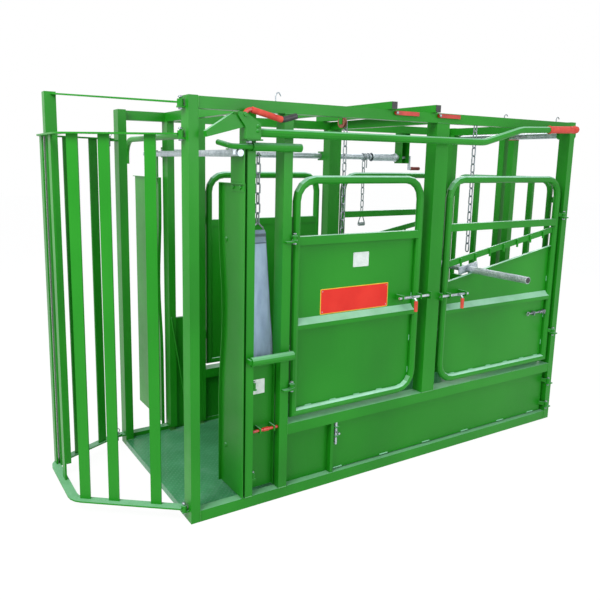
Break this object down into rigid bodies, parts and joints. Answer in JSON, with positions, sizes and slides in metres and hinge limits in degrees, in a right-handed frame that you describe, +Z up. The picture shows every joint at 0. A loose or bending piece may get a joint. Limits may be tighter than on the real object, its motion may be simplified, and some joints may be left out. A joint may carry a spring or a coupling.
{
  "type": "cattle crush",
  "caption": "Steel cattle crush cage with sliding head gate, swinging nose guard, side doors, rear leaves, rump bar and hanging chains.",
  "frame": {"origin": "centre of the cage's footprint, on the ground under the middle floor bearer", "axes": "+X towards the rear gate, +Y towards the far side wall, +Z up"},
  "size_m": [3.3915, 1.969, 2.155],
  "materials": {
    "green_paint": "gloss machine enamel over welded steel",
    "floor_paint": "satin enamel on chequered steel plate",
    "galvanised": "dull zinc with pale spangle",
    "red_paint": "satin red enamel",
    "red_grip": "matt moulded grip",
    "primer_red": "matt primer, worn",
    "webbing": "woven webbing",
    "black_fittings": "matt moulded plug",
    "sign_red": "gloss sheet, bare",
    "sign_yellow": "gloss sheet, bare",
    "pale_label": "satin sheet, bare"
  },
  "bodies": {
    "cage": {"floor": "floor_paint", "near_sill": "green_paint", "far_sill": "green_paint", "near_top_rail": "green_paint", "far_top_rail": "green_paint", "near_waist_rail": "green_paint", "far_waist_rail": "green_paint", "head_cross_rail": "green_paint", "middle_cross_rail": "green_paint", "rear_cross_rail": "green_paint", "near_front_post": "green_paint", "far_front_post": "green_paint", "near_gate_post": "green_paint", "far_gate_post": "green_paint", "near_hinge_post": "green_paint", "far_hinge_post": "green_paint", "near_centre_post": "green_paint", "far_centre_post": "green_paint", "near_rear_post": "green_paint", "far_rear_post": "green_paint", "far_shoulder_panel": "green_paint", "near_kick_panel": "green_paint", "far_kick_panel": "green_paint", "head_guide_tube": "galvanised", "bearing_sleeve": "green_paint", "front_roof_beam": "green_paint", "rear_roof_beam": "green_paint", "rump_chain": "galvanised", "pulley_chain": "galvanised", "winch_chain": "galvanised", "strap_chain": "galvanised", "sling_strap": "webbing"},
    "nose_guard": {"nose_guard": "green_paint"},
    "near_jaw": {"near_jaw": "green_paint"},
    "far_jaw": {"far_jaw": "green_paint"},
    "head_lever": {"head_lever": "green_paint", "head_lever_grip": "red_grip"},
    "release_handle": {"release_handle": "red_paint"},
    "crank_rod": {"crank_rod": "green_paint"},
    "near_shoulder_door": {"near_shoulder_door": "green_paint"},
    "shoulder_bolt": {"shoulder_bolt": "red_paint"},
    "near_front_door": {"near_front_door": "green_paint"},
    "near_front_latch": {"near_front_latch": "galvanised"},
    "far_front_door": {"far_front_door": "green_paint"},
    "far_front_latch": {"far_front_latch": "galvanised"},
    "near_rear_door": {"near_rear_door": "green_paint"},
    "near_rear_latch": {"near_rear_latch": "galvanised"},
    "far_rear_door": {"far_rear_door": "green_paint"},
    "far_rear_latch": {"far_rear_latch": "galvanised"},
    "near_lower_door": {"near_lower_door": "green_paint"},
    "shoot_bolt": {"shoot_bolt": "galvanised"},
    "near_rear_leaf": {"near_rear_leaf": "green_paint"},
    "far_rear_leaf": {"far_rear_leaf": "green_paint"},
    "rear_stop_bar": {"rear_stop_bar": "galvanised"},
    "rump_bar": {"rump_bar": "galvanised"},
    "front_beam_handle": {"front_beam_handle": "red_paint"},
    "rear_beam_handle": {"rear_beam_handle": "red_paint"},
    "pulley": {"pulley": "primer_red"},
    "strap_roller": {"strap_roller": "green_paint"},
    "winch_tube": {"winch_tube": "galvanised"}
  },
  "joints": [
    {"name": "nose_guard_swing", "type": "hinge", "parent": "cage", "child": "nose_guard", "pos_m": [-1.435, -0.512, 0], "axis": [0, 0, 1], "range_deg": [0, 100]},
    {"name": "head_lever_swing", "type": "hinge", "parent": "cage", "child": "head_lever", "pos_m": [-1.129, -0.604, 1.945], "axis": [0, 0, -1], "range_deg": [0, 70]},
    {"name": "near_jaw_slide", "type": "slide", "parent": "cage", "child": "near_jaw", "axis": [0, 1, 0], "range_m": [-0.001, 0.191]},
    {"name": "far_jaw_slide", "type": "slide", "parent": "cage", "child": "far_jaw", "axis": [0, 1, 0], "range_m": [-0.401, 0.001]},
    {"name": "release_handle_lift", "type": "hinge", "parent": "head_lever", "child": "release_handle", "pos_m": [-1.163, -0.604, 2.022], "axis": [0, -1, 0], "range_deg": [0, 45]},
    {"name": "crank_rod_turn", "type": "hinge", "parent": "cage", "child": "crank_rod", "pos_m": [-0.82, -0.5805, 1.88], "axis": [-1, 0, 0], "range_deg": [0, 35]},
    {"name": "near_shoulder_door_swing", "type": "hinge", "parent": "cage", "child": "near_shoulder_door", "pos_m": [-1.051, -0.537, 0], "axis": [0, 0, -1], "range_deg": [0, 90]},
    {"name": "shoulder_bolt_slide", "type": "slide", "parent": "near_shoulder_door", "child": "shoulder_bolt", "axis": [1, 0, 0], "range_m": [0, 0.02]},
    {"name": "near_front_door_swing", "type": "hinge", "parent": "cage", "child": "near_front_door", "pos_m": [-0.8375, -0.571, 0], "axis": [0, 0, -1], "range_deg": [0, 100]},
    {"name": "near_front_latch_slide", "type": "slide", "parent": "near_front_door", "child": "near_front_latch", "axis": [1, 0, 0], "range_m": [0, 0.03]},
    {"name": "far_front_door_swing", "type": "hinge", "parent": "cage", "child": "far_front_door", "pos_m": [-0.8375, 0.571, 0], "axis": [0, 0, 1], "range_deg": [0, 100]},
    {"name": "far_front_latch_slide", "type": "slide", "parent": "far_front_door", "child": "far_front_latch", "axis": [1, 0, 0], "range_m": [0, 0.03]},
    {"name": "near_rear_door_swing", "type": "hinge", "parent": "cage", "child": "near_rear_door", "pos_m": [1.3575, -0.571, 0], "axis": [0, 0, 1], "range_deg": [0, 100]},
    {"name": "near_rear_latch_slide", "type": "slide", "parent": "near_rear_door", "child": "near_rear_latch", "axis": [-1, 0, 0], "range_m": [0, 0.03]},
    {"name": "far_rear_door_swing", "type": "hinge", "parent": "cage", "child": "far_rear_door", "pos_m": [1.3575, 0.571, 0], "axis": [0, 0, -1], "range_deg": [0, 100]},
    {"name": "far_rear_latch_slide", "type": "slide", "parent": "far_rear_door", "child": "far_rear_latch", "axis": [-1, 0, 0], "range_m": [0, 0.03]},
    {"name": "near_lower_door_swing", "type": "hinge", "parent": "cage", "child": "near_lower_door", "pos_m": [1.3575, -0.571, 0], "axis": [0, 0, 1], "range_deg": [0, 100]},
    {"name": "shoot_bolt_slide", "type": "slide", "parent": "near_lower_door", "child": "shoot_bolt", "axis": [0, 0, 1], "range_m": [0, 0.02]},
    {"name": "near_rear_leaf_swing", "type": "hinge", "parent": "cage", "child": "near_rear_leaf", "pos_m": [1.389, -0.461, 0], "axis": [0, 0, 1], "range_deg": [0, 85]},
    {"name": "far_rear_leaf_swing", "type": "hinge", "parent": "cage", "child": "far_rear_leaf", "pos_m": [1.389, 0.461, 0], "axis": [0, 0, -1], "range_deg": [0, 85]},
    {"name": "rear_stop_bar_slide", "type": "slide", "parent": "cage", "child": "rear_stop_bar", "axis": [0, 1, 0], "range_m": [0, 0.45]},
    {"name": "rump_bar_slide", "type": "slide", "parent": "cage", "child": "rump_bar", "axis": [0.9849, 0, 0.1729], "range_m": [-0.15, 0.34]},
    {"name": "front_beam_handle_lift", "type": "hinge", "parent": "cage", "child": "front_beam_handle", "pos_m": [-0.191, -0.5655, 2.084], "axis": [0, -1, 0], "range_deg": [0, 90]},
    {"name": "rear_beam_handle_lift", "type": "hinge", "parent": "cage", "child": "rear_beam_handle", "pos_m": [0.134, -0.5655, 2.084], "axis": [0, -1, 0], "range_deg": [0, 90]},
    {"name": "pulley_spin", "type": "hinge", "parent": "cage", "child": "pulley", "pos_m": [-0.225, -0.127, 2.052], "axis": [1, 0, 0], "continuous": true},
    {"name": "strap_roller_spin", "type": "hinge", "parent": "cage", "child": "strap_roller", "pos_m": [-1.095, -0.587, 0.812], "axis": [1, 0, 0], "continuous": true},
    {"name": "winch_spin", "type": "hinge", "parent": "cage", "child": "winch_tube", "pos_m": [-1.095, 0.603, 1.861], "axis": [1, 0, 0], "continuous": true}
  ],
  "couplings": [
    {"joint": "near_jaw_slide", "follows": "head_lever_swing", "m_per_rad": 0.1555},
    {"joint": "far_jaw_slide", "follows": "head_lever_swing", "m_per_rad": -0.327}
  ]
}
